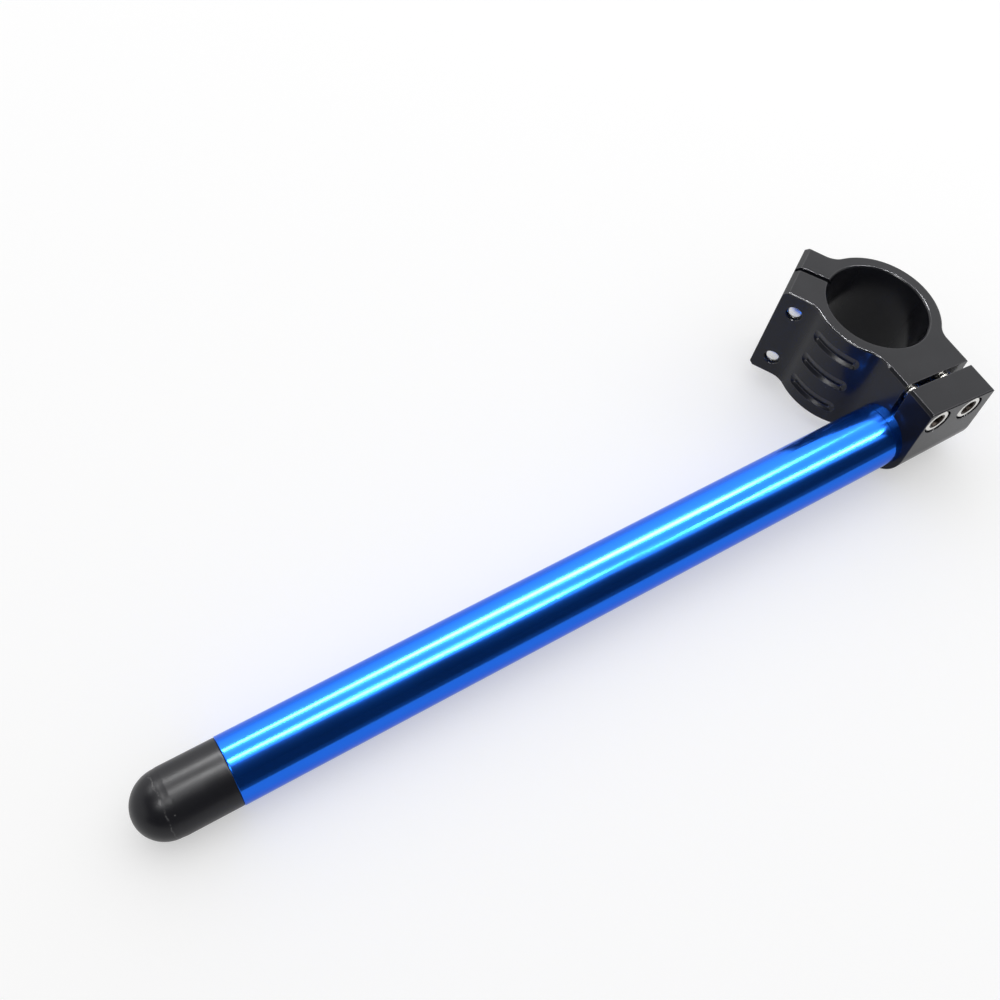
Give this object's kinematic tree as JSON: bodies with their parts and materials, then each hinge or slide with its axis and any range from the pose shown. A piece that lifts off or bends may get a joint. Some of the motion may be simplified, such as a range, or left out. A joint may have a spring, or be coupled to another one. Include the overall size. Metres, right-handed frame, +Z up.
{
  "type": "clip-on handlebar",
  "caption": "Clip-on motorcycle handlebar: split billet clamp for a fork tube, drooped straight bar with a domed end cap, and recessed cap screws.",
  "frame": {"origin": "on the fork bore's axis, at half the clamp's height", "axes": "+Z up along the fork bore, away from the bar's droop; +X towards the grip end; +Y from the fork bore to the bar block"},
  "size_m": [0.3146, 0.0818, 0.078],
  "materials": {
    "clamp_black": "satin black anodised",
    "bar_blue": "bright blue anodised",
    "cap_black": "matt moulded",
    "screw_steel": "bright plated"
  },
  "bodies": {
    "root": {"clamp_body": "clamp_black", "bar_tube": "bar_blue", "bar_end_cap": "cap_black", "fork_screw_upper": "screw_steel", "fork_screw_lower": "screw_steel", "bar_screw_outer": "screw_steel", "bar_screw_inner": "screw_steel"}
  },
  "joints": []
}
